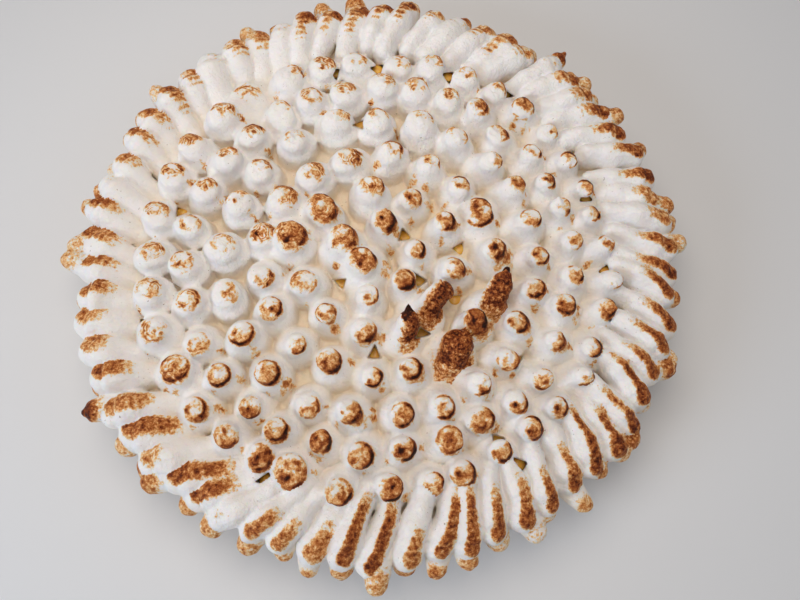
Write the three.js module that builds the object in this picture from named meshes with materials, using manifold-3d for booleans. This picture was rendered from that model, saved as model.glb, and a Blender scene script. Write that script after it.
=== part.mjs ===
// Lemon meringue pie: a fluted pastry shell, lemon curd, and a meringue piped in three passes.
// Units are millimetres and degrees, +Z is up, and the origin is the centre of the flat underside.
import * as THREE from "three";
import { mergeVertices } from "three/addons/utils/BufferGeometryUtils.js";
import Module from "manifold-3d";

// ---- Pastry shell and curd ----
const CRUST_RADIUS = 140; // outside of the rim
const CRUST_DRAFT = 3; // how much smaller the foot is than the rim
const CRUST_HEIGHT = 25;
const CRUST_WALL = 6;
const CRUST_FLOOR = 4;
const FLUTES = 48;
const SHELL_COLUMNS = 2 * FLUTES;
const FLUTE_DEPTH = 2.2;
const CURD_TOP = CRUST_HEIGHT;
const GAP = 0.3; // between pieces that touch
const MERINGUE_BASE = CURD_TOP + GAP;

// ---- Kisses: bulbs piped straight up, in rings ----
const FEET_HEIGHT = 5.5; // how high the feet have run together
const KISS_SIDES = 6;
const KISS_RADIUS = 9.8; // at the top of the feet
const KISS_HEIGHT = 17; // from there up
// Along the bulb from its foot: share of the height, share of the radius.
const KISS_PROFILE = [[0, 0], [0, 1], [0.3, 0.85], [0.56, 0.54], [0.86, 0.43], [1, 0]];
const KISS_SEED = 11;
// Rings from the border inwards. crowding is how many degrees the hand ran ahead and behind of an even
// spacing, and crowdedAt is where it was back on it.
const KISS_RINGS = [
  { count: 37, radius: 117.5, start: 3.7, crowding: 5.7, crowdedAt: 163 },
  { count: 32, radius: 100.3, start: 3.7, crowding: 4.2, crowdedAt: 186 },
  { count: 23, radius: 80.8, start: 19.3, crowding: 7.8, crowdedAt: 162 },
  { count: 18, radius: 60.1, start: 5.9, crowding: 2.1, crowdedAt: 125 },
  { count: 11, radius: 39.0, start: 358.7, crowding: 3.4, crowdedAt: 52 },
  { count: 5, radius: 19.6, start: 22.9, crowding: -18.7, crowdedAt: 13 },
  { count: 1, radius: 5.5, start: 180, crowding: 0, crowdedAt: 0 },
];
// The rings slide towards -Y as they get smaller.
const RING_SLIDE = -10.5;
const RING_SLIDE_PER_RADIUS = 0.061;
// Kisses that came out differently: how far the foot and the tip are off, and shares of the usual sizes.
const ODD_KISSES = [
  { ring: 0, index: 13, off: [-5, -1], lean: [0, 0], wide: 1.45, tall: 0.6 }, // a flat blob
  { ring: 0, index: 12, off: [1, -1], lean: [0, 1], wide: 1.15, tall: 0.9 },
  { ring: 0, index: 25, off: [-6, 3], lean: [2, 2], wide: 1.35, tall: 0.95 },
  { ring: 1, index: 11, off: [-1, -1], lean: [3, 3], wide: 1.15, tall: 0.85 },
  { ring: 3, index: 1, off: [-4, 2], lean: [2, 0], wide: 1.3, tall: 0.95 },
  { ring: 3, index: 15, off: [0, -3], lean: [6, 9], wide: 1.25, tall: 1.15 }, // four dragged ones
  { ring: 3, index: 17, off: [-1, -9], lean: [8, 12], wide: 1.05, tall: 1.2 },
  { ring: 4, index: 9, off: [0, -2], lean: [3, 7], wide: 1.1, tall: 1.2 },
  { ring: 4, index: 10, off: [-9, -4], lean: [10, 11], wide: 1.2, tall: 1.15 },
  { ring: 4, index: 4, off: [-4, -1], lean: [1, 2], wide: 1.25, tall: 1.15 },
  { ring: 4, index: 5, off: [-7, 2], lean: [0, 1], wide: 1.25, tall: 1.1 },
  { ring: 5, index: 2, off: [0, 3], lean: [0, 2], wide: 1.2, tall: 1.1 },
  { ring: 6, index: 0, off: [-1, 1], lean: [0, 1], wide: 1.3, tall: 1.15 },
];

// ---- Gaps where the curd shows: distance from the axis and angle ----
const CURD_GAP_SIZE = 5;
const CURD_GAPS = [
  [124, 91], [129, 113], [124, 103], [126, 71], [131, 55], [124, 18], [125, 357], [127, 346], [127, 329],
  [130, 303], [115, 302], [129, 197], [115, 166], [129, 245], [48, 299], [53, 268], [25, 331], [86, 98],
];

// ---- Border: slanting strokes, from over the rim in to the kisses ----
const STROKE_COUNT = 64;
const STROKE_START = 1.7;
const STROKE_CROWDING = 3.2;
const STROKE_CROWDED_AT = 154;
const STROKE_OUTER_RADIUS = 154;
const STROKE_INNER_RADIUS = 125;
const STROKE_SLANT = 5.5; // degrees from the outer end to the inner end
// A section along a stroke and one along the crease after it, from the kisses' feet outwards: distance
// in from the stroke's outer end as a share of its length, and height above the curd. The last two
// points are the blunt tip of the drop that sits under the crease.
const STROKE_SECTION = [
  [0.98, 5.5], [0.9, 12], [0.5, 18.5], [0.18, 21.5], [0, 15], [0.06, 9], [-0.12, 8], [-0.1, 3],
];
const CREASE_SECTION = [
  [0.9, 5.5], [0.8, 7], [0.5, 11.5], [0.28, 14], [0.15, 12], [0.1, 10], [-0.34, 9], [-0.28, 4],
];
const OVERHANG = 1.5; // of the meringue's flat underside, past the shell
const STROKE_SHOULDER = 0.2; // how far each side of the middle a stroke is at its full height, as a share
const STROKE_SEED = 23;

const UP = new THREE.Vector3(0, 0, 1);
const radians = THREE.MathUtils.degToRad;

const wasm = await Module();
wasm.setup();

// A seeded sequence of draws, so that the meringue is the same in every build.
function drawsFrom(seed) {
  let state = seed;
  return function draw(low, high) {
    state = (state * 1664525 + 1013904223) % 4294967296;
    return low + ((high - low) * state) / 4294967296;
  };
}

// The point at a distance from the pie's axis.
function around(radius, degrees, z) {
  return new THREE.Vector3(radius * Math.cos(radians(degrees)), radius * Math.sin(radians(degrees)), z);
}

// The angle of piece i of a row of count, with the row's crowding.
function crowdedAngle(i, count, start, crowding, crowdedAt) {
  const even = start + (360 * i) / count;
  return even + crowding * Math.sin(radians(even - crowdedAt));
}

// ---- Solids ----

// A closed geometry as a solid. A lathe's points on the axis give faces of no area, which are left out.
function solidOf(geometry) {
  geometry.deleteAttribute("normal");
  geometry.deleteAttribute("uv");
  const merged = mergeVertices(geometry, 1e-4);
  const corners = merged.index.array;
  const faces = [];
  for (let i = 0; i < corners.length; i += 3) {
    const [a, b, c] = corners.slice(i, i + 3);
    if (a !== b && b !== c && c !== a) faces.push(a, b, c);
  }
  const vertProperties = merged.attributes.position.array;
  const triVerts = new Uint32Array(faces);
  return new wasm.Manifold(new wasm.Mesh({ numProp: 3, vertProperties, triVerts }));
}

function geometryOf(solid) {
  const mesh = solid.getMesh();
  const geometry = new THREE.BufferGeometry();
  geometry.setAttribute("position", new THREE.BufferAttribute(mesh.vertProperties, 3));
  geometry.setIndex(new THREE.BufferAttribute(mesh.triVerts, 1));
  return geometry;
}

// A body turned round +Z from a profile of [height, radius] pairs.
function turned(profile, sides) {
  const points = profile.map(([height, radius]) => new THREE.Vector2(radius, height));
  return new THREE.LatheGeometry(points, sides).rotateX(Math.PI / 2);
}

// Moves each point of a geometry to where place(point) says.
function moved(geometry, place) {
  const position = geometry.getAttribute("position");
  const point = new THREE.Vector3();
  for (let i = 0; i < position.count; i++) {
    const there = place(point.fromBufferAttribute(position, i));
    position.setXYZ(i, there.x, there.y, there.z);
  }
  return geometry;
}

// ---- Where the meringue's pieces go ----

function kissLayout() {
  const draw = drawsFrom(KISS_SEED);
  return KISS_RINGS.flatMap((row, ring) => {
    const slide = RING_SLIDE + RING_SLIDE_PER_RADIUS * row.radius;
    return Array.from({ length: row.count }, (_, index) => {
      const angle = crowdedAngle(index, row.count, row.start, row.crowding, row.crowdedAt);
      const foot = around(row.radius + draw(-1.5, 1.5), angle, MERINGUE_BASE + FEET_HEIGHT);
      foot.x += draw(-1, 1);
      foot.y += slide + draw(-1, 1);
      const radius = KISS_RADIUS * draw(0.95, 1.06);
      const height = KISS_HEIGHT * draw(0.9, 1.12);
      const lean = around(draw(0, 3.5), draw(0, 360), 0);
      const turn = draw(0, 360);
      const odd = ODD_KISSES.find((other) => other.ring === ring && other.index === index);
      if (!odd) return { foot, radius, height, lean, turn };
      foot.x += odd.off[0];
      foot.y += odd.off[1];
      lean.set(odd.lean[0], odd.lean[1], 0);
      return { foot, radius: radius * odd.wide, height: height * odd.tall, lean, turn };
    });
  });
}

function strokeLayout() {
  const draw = drawsFrom(STROKE_SEED);
  return Array.from({ length: STROKE_COUNT }, (_, i) => {
    const angle = crowdedAngle(i, STROKE_COUNT, STROKE_START, STROKE_CROWDING, STROKE_CROWDED_AT);
    return {
      angle: angle + draw(-0.6, 0.6),
      slant: STROKE_SLANT + draw(-1.5, 1.5),
      outer: STROKE_OUTER_RADIUS + draw(-2, 3),
      inner: STROKE_INNER_RADIUS + draw(-3, 3),
      rise: draw(-1.5, 1.5),
    };
  });
}

// ---- The meringue's pieces ----

function kiss({ foot, radius, height, lean, turn }) {
  const bulb = turned(KISS_PROFILE, KISS_SIDES).rotateZ(radians(turn));
  return moved(bulb, ({ x, y, z }) => new THREE.Vector3(radius * x, radius * y, height * z)
    .addScaledVector(lean, z * z)
    .add(foot));
}

// The border and the kisses' feet as one closed turned body: each stroke has its two shoulders and the
// crease after it.
function border() {
  const strokes = strokeLayout();
  const sections = strokes.flatMap((stroke, i) => {
    const next = strokes[(i + 1) % STROKE_COUNT];
    const step = THREE.MathUtils.euclideanModulo(next.angle - stroke.angle, 360);
    return [
      strokeSection(stroke, -STROKE_SHOULDER * step, STROKE_SECTION),
      strokeSection(stroke, STROKE_SHOULDER * step, STROKE_SECTION),
      strokeSection(stroke, 0.5 * step, CREASE_SECTION),
    ];
  });
  const rows = sections[0].length;
  const points = sections.flat();
  const top = points.push(new THREE.Vector3(0, 0, MERINGUE_BASE + FEET_HEIGHT)) - 1;
  const bottom = points.push(new THREE.Vector3(0, 0, MERINGUE_BASE)) - 1;
  const faces = [];
  sections.forEach((_, column) => {
    const here = column * rows;
    const there = ((column + 1) % sections.length) * rows;
    faces.push(top, here, there);
    for (let row = 0; row < rows - 1; row++) {
      faces.push(here + row, there + row + 1, there + row, here + row, here + row + 1, there + row + 1);
    }
    faces.push(bottom, there + rows - 1, here + rows - 1);
  });
  const geometry = new THREE.BufferGeometry().setFromPoints(points);
  geometry.setIndex(faces);
  return geometry;
}

function strokeSection({ angle, slant, outer, inner, rise }, aside, section) {
  const line = section.map(([inward, height], row) => {
    const lifted = row > 0 ? height + rise : height;
    return around(outer + (inner - outer) * inward, angle + aside + slant * inward, MERINGUE_BASE + lifted);
  });
  return [...line, around(CRUST_RADIUS + OVERHANG, angle + aside, MERINGUE_BASE)];
}

// The gaps as upright square pegs, taller than the feet.
function curdGaps() {
  return CURD_GAPS.map(([radius, angle]) => {
    const place = around(radius, angle, MERINGUE_BASE);
    return new THREE.BoxGeometry(CURD_GAP_SIZE, CURD_GAP_SIZE, 2 * KISS_HEIGHT)
      .rotateZ(radians(angle))
      .translate(place.x, place.y, place.z);
  });
}

function meringueGeometry() {
  const piped = wasm.Manifold.union([border(), ...kissLayout().map(kiss)].map(solidOf));
  return geometryOf(piped.subtract(wasm.Manifold.union(curdGaps().map(solidOf))));
}

// ---- Shell and curd ----

function crustGeometry() {
  const inside = CRUST_RADIUS - CRUST_WALL;
  const profile = [
    [0, 0],
    [0, CRUST_RADIUS - CRUST_DRAFT],
    [CRUST_HEIGHT, CRUST_RADIUS],
    [CRUST_HEIGHT, inside],
    [CRUST_FLOOR, inside - CRUST_DRAFT],
    [CRUST_FLOOR, 0],
  ];
  const shell = moved(turned(profile, SHELL_COLUMNS), (point) => {
    const radius = Math.hypot(point.x, point.y);
    if (radius < inside + GAP) return point;
    const crease = (1 - Math.cos(FLUTES * Math.atan2(point.y, point.x))) / 2;
    const share = 1 - (FLUTE_DEPTH * crease) / radius;
    return point.set(point.x * share, point.y * share, point.z);
  });
  return geometryOf(solidOf(shell));
}

function curdGeometry() {
  const radius = CRUST_RADIUS - CRUST_WALL - GAP;
  const profile = [
    [CRUST_FLOOR + GAP, 0],
    [CRUST_FLOOR + GAP, radius - CRUST_DRAFT],
    [CURD_TOP, radius],
    [CURD_TOP, 0],
  ];
  return geometryOf(solidOf(turned(profile, SHELL_COLUMNS)));
}

// ---- The pie ----

const pastry = new THREE.MeshStandardMaterial({ color: 0xc99a5b, roughness: 0.85, metalness: 0 });
const curd = new THREE.MeshStandardMaterial({ color: 0xc9a227, roughness: 0.3, metalness: 0 });
const meringue = new THREE.MeshStandardMaterial({ color: 0xf2ebe0, roughness: 0.7, metalness: 0 });

function named(name, geometry, material) {
  const mesh = new THREE.Mesh(geometry, material);
  mesh.name = name;
  return mesh;
}

const pie = new THREE.Group();
pie.add(
  named("crust", crustGeometry(), pastry),
  named("lemon_filling", curdGeometry(), curd),
  named("meringue", meringueGeometry(), meringue),
);

export default pie;
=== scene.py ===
"""The looks of a lemon meringue pie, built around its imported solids.

Sizes and places are in millimetres and degrees, and become metres where a mesh is made. +Z is up, and the
origin is the centre of the flat underside.
"""
import math

import bpy
import numpy as np
from mathutils import Matrix, Vector
from mathutils.geometry import delaunay_2d_cdt

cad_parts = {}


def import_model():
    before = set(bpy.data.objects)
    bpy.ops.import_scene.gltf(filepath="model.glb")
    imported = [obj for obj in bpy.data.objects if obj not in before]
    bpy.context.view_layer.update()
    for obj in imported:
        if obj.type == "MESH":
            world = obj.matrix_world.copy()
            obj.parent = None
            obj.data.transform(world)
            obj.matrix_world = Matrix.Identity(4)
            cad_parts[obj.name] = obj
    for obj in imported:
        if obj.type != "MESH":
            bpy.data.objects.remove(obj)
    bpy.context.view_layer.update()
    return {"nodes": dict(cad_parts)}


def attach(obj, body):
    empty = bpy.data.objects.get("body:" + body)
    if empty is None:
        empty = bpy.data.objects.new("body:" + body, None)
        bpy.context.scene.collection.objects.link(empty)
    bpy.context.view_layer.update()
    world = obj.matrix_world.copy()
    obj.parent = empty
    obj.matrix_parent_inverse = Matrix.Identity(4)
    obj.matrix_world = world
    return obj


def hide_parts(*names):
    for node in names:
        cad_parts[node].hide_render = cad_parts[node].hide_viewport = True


MM = 0.001

# ---- The solids' layout: the named values of the part's source ----
CRUST_RADIUS = 140.0
CRUST_DRAFT = 3.0
CRUST_HEIGHT = 25.0
CRUST_WALL = 6.0
CRUST_FLOOR = 4.0
FLUTES = 48
FLUTE_DEPTH = 2.2
CRUST_EDGE = 1.4  # rounding of the fine shell's rim and foot
GAP = 0.3
BASE = CRUST_HEIGHT + GAP  # the meringue's underside
FEET_HEIGHT = 5.5
FEET_TOP = BASE + FEET_HEIGHT  # where the kisses' feet have run together
KISS_HEIGHT = 17.0
KISS_SEED = 11
# count, radius, start, crowding, crowded at
KISS_RINGS = [
    (37, 117.5, 3.7, 5.7, 163),
    (32, 100.3, 3.7, 4.2, 186),
    (23, 80.8, 19.3, 7.8, 162),
    (18, 60.1, 5.9, 2.1, 125),
    (11, 39.0, 358.7, 3.4, 52),
    (5, 19.6, 22.9, -18.7, 13),
    (1, 5.5, 180, 0, 0),
]
KISS_GROUPS = "abcdddd"  # the rings' pieces of the mesh
RING_SLIDE = -10.5
RING_SLIDE_PER_RADIUS = 0.061
# (ring, index): how far the foot and the tip are off, and shares of the usual width and height
ODD_KISSES = {
    (0, 13): ((-5, -1), (0, 0), 1.45, 0.6),
    (0, 12): ((1, -1), (0, 1), 1.15, 0.9),
    (0, 25): ((-6, 3), (2, 2), 1.35, 0.95),
    (1, 11): ((-1, -1), (3, 3), 1.15, 0.85),
    (3, 1): ((-4, 2), (2, 0), 1.3, 0.95),
    (3, 15): ((0, -3), (6, 9), 1.25, 1.15),
    (3, 17): ((-1, -9), (8, 12), 1.05, 1.2),
    (4, 9): ((0, -2), (3, 7), 1.1, 1.2),
    (4, 10): ((-9, -4), (10, 11), 1.2, 1.15),
    (4, 4): ((-4, -1), (1, 2), 1.25, 1.15),
    (4, 5): ((-7, 2), (0, 1), 1.25, 1.1),
    (5, 2): ((0, 3), (0, 2), 1.2, 1.1),
    (6, 0): ((-1, 1), (0, 1), 1.3, 1.15),
}
CURD_GAPS = [
    (124, 91), (129, 113), (124, 103), (126, 71), (131, 55), (124, 18), (125, 357), (127, 346), (127, 329),
    (130, 303), (115, 302), (129, 197), (115, 166), (129, 245), (48, 299), (53, 268), (25, 331), (86, 98),
]
SMALL_GAPS = [(19.6, 45), (44.8, 8), (47.2, 331), (24.9, 214), (92.3, 322)]  # too small for the solids
SWELL_RADIUS = 3.6  # of the curd in an opening
SWELL_HEIGHT = 5.0
HIGH_SWELL = 10.5  # beside the border
SWELL_SIDES = 16
SWELL_STEPS = [(1, 0), (1, 0.6), (0.85, 0.9), (0.5, 1)]  # shares of its radius and height, from its foot up
SWELL_SUNK = 0.4  # how deep its foot is sunk
STROKE_COUNT = 64
STROKE_START = 1.7
STROKE_CROWDING = 3.2
STROKE_CROWDED_AT = 154
STROKE_OUTER_RADIUS = 154.0
STROKE_INNER_RADIUS = 125.0
STROKE_SLANT = 5.5
MORE_SLANT = 6.5  # of the strokes about one angle, over a spread of angles
MORE_SLANT_AT = 233
MORE_SLANT_SPREAD = 15.0
STROKE_SEED = 23

# ---- The fine meringue ----
STEP = 0.8  # of the grid that its surface is drawn on
BLEND = 0.55  # how softly piped pieces run together
LOOKS_SEED = 5
# A kiss from its foot up: distance from its axis and height above the top of the feet, for the usual size
KISS_OUTLINE = [
    (12.2, -8), (12.4, -4), (12.2, 0), (11.7, 2.3), (10.9, 4.5), (9.8, 6.6), (8.5, 8.4), (7.5, 9.8),
    (6.9, 11.1), (6.6, 12.4), (6.4, 13.6), (5.9, 15), (5.0, 16.2), (3.5, 17.1), (1.8, 17.5), (0, 17.6),
]
NUB_CENTRE = 11.5  # height of the middle of a kiss's nub above the top of the feet
NUB_RADIUS = 6.5
TAIL_HEIGHT = 16.6  # of the nozzle's tail, above the top of the feet
# Kisses whose tip was dragged over: where the drag starts and ends, off the foot, and its two radii
DRAGGED_KISSES = {
    (3, 15): ((-0.5, -3.5, 7), (3.5, 5.5, 12), 6.0, 8.6),
    (3, 17): ((2.5, 0.5, 9), (7.5, 11, 16), 6.2, 5.2),
    (4, 9): ((0, 0, 9), (2.5, 6, 15.5), 6.2, 4.8),
    (4, 10): ((1.5, 0, 8.5), (10.5, 11.5, 13.5), 5.6, 6.2),
}
DRAGGED_NUB = 0.75  # share of the usual width that such a kiss's own nub keeps
# Their horns: where they start and end, off the foot, and their two radii
HORNS = {
    (3, 17): ((8.6, 14, 17.5), (9.8, 17.2, 20.5), 1.9, 1.6),
    (4, 9): ((2.5, 7, 17.5), (2.5, 12.5, 23.5), 3.8, 0.7),
}
# Along a stroke, from its outer end in: share of its length, half its width, height of its ridge
STROKE_LINE = [
    (0.0, 7.2, 19.5), (0.12, 7.5, 21.5), (0.35, 7.2, 20.8), (0.65, 6.7, 19.0), (1.0, 5.9, 15.5),
]
# The same for the strokes at the left, which are short blobs that run down into the kisses
BLOB_LINE = [
    (0.0, 8.4, 18.5), (0.12, 9.2, 21.5), (0.35, 8.8, 20.5), (0.65, 7.6, 16.0), (1.0, 6.6, 11.0),
]
HIGH_ENDS = 3.5  # how much higher the inner ends of the other strokes are
STROKE_REACH = 4.0  # of the fat outer ends beyond the ridges' own ends
STROKE_FOOT = 2.5  # height of the outer ends' undersides, over the rim
# Along a drop of the lower tier, from under the border outwards: share of its length and of its radius
DROP_LINE = [(0.0, 1.0), (0.5, 1.0), (0.8, 0.94), (1.0, 0.82)]
# Drops that stick out: angle, reach of the end's centre, its height, radius, length of the tip and toast
NAMED_DROPS = [
    (211.5, 161, 11, 6.4, 4.0, 0.85), (182, 162, 11, 6.2, 1.5, 0.52), (171, 158, 10, 6.4, 0, 0.5),
    (143, 160, 12, 6.2, 2.0, 0.45), (120, 159, 11, 6.2, 2.0, 0.5), (103, 160, 11, 6.2, 0, 0.55),
    (49, 159, 13, 5.6, 4.0, 0.75), (41.5, 158, 12, 6.4, 1.0, 0.55), (32, 159, 11, 6.4, 0, 0.6),
    (23, 158, 11, 6.6, 0, 0.6), (10, 159, 10, 6.6, 0, 0.6), (2, 161, 11, 6.4, 0, 0.5),
    (228, 158, 9, 7.4, 1.0, 0.6), (322, 157, 9, 7.2, 1.0, 0.66), (337, 158, 9, 7.2, 0, 0.66),
]
GAPS_LEAN_TO = (7, -118, 336)  # the openings down to the curd lean towards the front
# Sides of the border where its strokes differ: the angle of the middle, and the cosines where a side starts
# and is full. They are the front, the blobs at the left, the back, the right and the lower left.
SIDES = [(300, 0.3, 0.9), (168, 0.25, 0.7), (90, 0.2, 0.8), (12, 0.6, 0.95), (205, 0.75, 0.95)]
# Ranges that the details are drawn from, in this order
KISS_DETAILS = {
    "rim_radius": (3.4, 4.6), "rim_open": (-1.0, 0.1), "rim": (0.2, 0.7),
    "dip_radius": (1.6, 2.6), "dip": (0.3, 0.9), "tail": (1.5, 4.0),
}
DROP_DETAILS = {"fat": (6.0, 7.6), "nipple": (-6, 3.5), "toast": (0.42, 0.66), "toast_from": (0.9, 1.2)}
RING_DETAILS = {  # of the dark line round a nub
    "ring_radius": (0.8, 0.92), "ring_turn": (-20, 80), "ring_open": (-1.4, -0.1), "ring_depth": (0.24, 0.5),
}
STROKE_DETAILS = {
    "wide": (0.94, 1.06), "pulse": (0.02, 0.07), "phase": (0, 1), "sway": (-1.3, 1.3), "band": (3.0, 4.6),
}

# ---- Toasting: 0 is white, 0.5 the edge of the brown, and 1 nearly black ----
CAP_REACH = (30, 36)  # degrees round a cap that the flame reached, and how many more at full strength
TOAST_PER_DEGREE = 0.013
FADE_LENGTH = 14  # over which a stroke's toasting starts
FADE_ROUND = 0.24  # the same round a stroke, as a change of the cosine
RIGHT_TORCH = (0.3, 0.12, 0.94)  # towards the flame, for the strokes at the right
DRAG_TORCH = {  # towards where the flame came from, onto the dragged tips, and how far round it reached
    (3, 15): ((0.2, -0.3, 0.93), -0.15), (3, 17): ((0.5, -0.35, 0.79), -0.05),
    (4, 9): ((0.92, -0.2, 0.3), 0.05), (4, 10): ((0.72, -0.5, 0.48), 0.1),
}
# Kisses of each ring that are toasted more or less than the field around them, by index
TOASTED_KISSES = [
    {5: 0.5, 11: 0.55, 29: 0.75, 30: 0.7, 34: 0.75, 35: 0.8, 25: 0.7, 10: 0.05, 12: 0.25, 13: 0.12},
    {5: 0.6, 4: 0.6, 20: 0.85, 22: 1.0, 25: 0.85, 26: 0.85, 6: 0.2, 9: 0.15, 11: 0.1},
    {4: 0.1, 5: 0.08, 6: 0.12, 7: 0.15, 10: 0.08, 11: 0.08},
    {0: 0.95, 1: 0.7, 7: 0.65, 8: 0.6, 9: 0.2, 11: 0.1, 15: 1.25, 16: 1.25, 17: 1.05},
    {0: 0.7, 1: 0.8, 2: 0.75, 4: 0.95, 5: 0.95, 7: 0.2, 9: 1.2, 10: 1.15},
    {1: 0.7, 2: 0.75, 3: 0.25},
    {0: 0.7},
]
# Strokes: angle of the outer end, how far in it is toasted as a share of its length, and how much
TOASTED_STROKES = [
    (1, 0.42, 0.85), (8, 0.2, 0.35), (18, 0.4, 0.85), (27, 0.38, 0.95), (35, 0.3, 0.9),
    (42, 0.2, 0.5), (50, 0.05, 0.1), (60, 0.45, 0.5), (68, 0.2, 0.35), (75, 0.05, 0.1),
    (84, 0.35, 0.8), (94, 0.5, 0.8), (104, 0.38, 0.75), (111, 0.1, 0.2), (122, 0.2, 0.35),
    (128, 0.05, 0.1), (135, 0.2, 0.3), (143, 0.38, 0.7), (153, 0.35, 0.65), (160, 0.2, 0.4),
    (166, 0.05, 0.1), (175, 0.32, 0.7), (187, 0.36, 0.75), (198, 0.15, 0.5), (205, 0.4, 0.75),
    (214, 0.5, 0.7), (220, 0.7, 0.85), (224, 0.03, 0.1), (229, 0.7, 0.85), (238, 0.42, 0.8),
    (243, 0.03, 0.1), (249, 0.35, 0.5), (255, 0.3, 0.45), (262, 0.75, 0.85), (268, 0.7, 0.95),
    (274, 0.3, 0.4), (279, 0.85, 0.8), (284, 0.75, 0.6), (290, 0.6, 0.7), (297, 0.55, 0.8),
    (305, 0.5, 0.8), (313, 0.8, 0.9), (320, 0.6, 0.9), (328, 0.75, 0.95), (336, 0.5, 0.9),
    (344, 0.38, 0.85), (350, 0.5, 0.95),
]

# ---- Camera: where it stands, and what it saw in a picture of PICTURE pixels ----
PICTURE = (800, 600)
CAMERA_PLACE = (7.1, -118.2, 336.2)
FOCAL_PIXELS = 601.0
NADIR_PIXEL = (391.0, 483.0)  # the point straight below the camera
SENSOR_WIDTH = 36.0


def draws_from(seed):
    """A seeded sequence of draws, the same as the part's source makes."""
    state = seed

    def draw(low, high):
        nonlocal state
        state = (state * 1664525 + 1013904223) % 4294967296
        return low + (high - low) * state / 4294967296

    return draw


def around(radius, degrees):
    """The point at a distance from the pie's axis."""
    angle = np.radians(degrees)
    return np.array([radius * np.cos(angle), radius * np.sin(angle)])


def crowded_angle(i, count, start, crowding, crowded_at):
    even = start + 360 * i / count
    return even + crowding * math.sin(math.radians(even - crowded_at))


def torch_at(place, more_north):
    """Towards where the flame came from: the north over the left and the back, the south over the front."""
    east = 0.3 + 0.22 * np.clip(place[0] / 110, -1, 1)
    at_back = np.clip((place[1] - 10) / 60, -1, 1)
    at_left = np.clip(-place[0] / 110, 0, 1)
    torch = np.array((east, 0.05 + 0.45 * at_back + 0.35 * at_left + more_north, 0.85))
    return torch / np.linalg.norm(torch)


def smooth(value, low, high):
    share = np.clip((value - low) / (high - low), 0, 1)
    return share * share * (3 - 2 * share)


def on_side(angle, middle, low, high):
    """1 at a side of the pie and 0 away from it."""
    return smooth(math.cos(math.radians(angle - middle)), low, high)


def nearest_angle(angles, angle):
    """Which of some angles is the nearest to one."""
    return int(np.argmin([abs((angle - other + 180) % 360 - 180) for other in angles]))


def looks_draws(number):
    return np.random.default_rng(LOOKS_SEED + number)


def drawn(draws, details):
    return {key: draws.uniform(*limits) for key, limits in details.items()}


def unit_rows(vectors):
    return vectors / np.maximum(np.linalg.norm(vectors, axis=1), 1e-9)[:, None]


def length_of(steps):
    return np.sqrt(sum(step**2 for step in steps))


def from_line(point, start, end):
    """How far along a line the points are, as a share of it, and their steps away from it."""
    step = np.subtract(end, start)
    along = np.clip(sum((p - a) * s for p, a, s in zip(point, start, step)) / (step @ step), 0, 1)
    return along, [p - a - along * s for p, a, s in zip(point, start, step)]


class Piped(dict):
    """A kiss, a stroke or a drop: its measures by name."""

    __getattr__ = dict.__getitem__
    __setattr__ = dict.__setitem__


# ---- Layout of the meringue's pieces ----


def kiss_layout():
    draw = draws_from(KISS_SEED)
    kisses = []
    for ring, (count, ring_radius, start, crowding, crowded_at) in enumerate(KISS_RINGS):
        slide = RING_SLIDE + RING_SLIDE_PER_RADIUS * ring_radius
        for index in range(count):
            angle = crowded_angle(index, count, start, crowding, crowded_at)
            foot = around(ring_radius + draw(-1.5, 1.5), angle)
            foot[0] += draw(-1, 1)
            foot[1] += slide + draw(-1, 1)
            wide = draw(0.95, 1.06)
            tall = draw(0.9, 1.12)
            lean = around(draw(0, 3.5), draw(0, 360))
            turn = math.radians(draw(0, 360))
            name = (ring, index)
            if name in ODD_KISSES:
                off, tip, more_wide, more_tall = ODD_KISSES[name]
                foot += off
                lean = np.array(tip, float)
                wide *= more_wide
                tall *= more_tall
            group = "kisses_" + KISS_GROUPS[ring]
            kisses.append(Piped(
                name=name, group=group, angle=angle, foot=foot, wide=wide, tall=tall, lean=lean, turn=turn,
            ))
    return kisses


def stroke_layout():
    draw = draws_from(STROKE_SEED)
    strokes = []
    for i in range(STROKE_COUNT):
        angle = crowded_angle(i, STROKE_COUNT, STROKE_START, STROKE_CROWDING, STROKE_CROWDED_AT)
        more = MORE_SLANT * math.exp(-(((angle - MORE_SLANT_AT) / MORE_SLANT_SPREAD) ** 2))
        strokes.append(Piped(
            angle=angle + draw(-0.6, 0.6),
            slant=STROKE_SLANT + more + draw(-1.5, 1.5),
            outer=STROKE_OUTER_RADIUS + draw(-2, 3),
            inner=STROKE_INNER_RADIUS + draw(-3, 3),
            rise=draw(-1.5, 1.5),
        ))
    return strokes


# ---- The grid that the meringue's surface is drawn on ----


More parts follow.
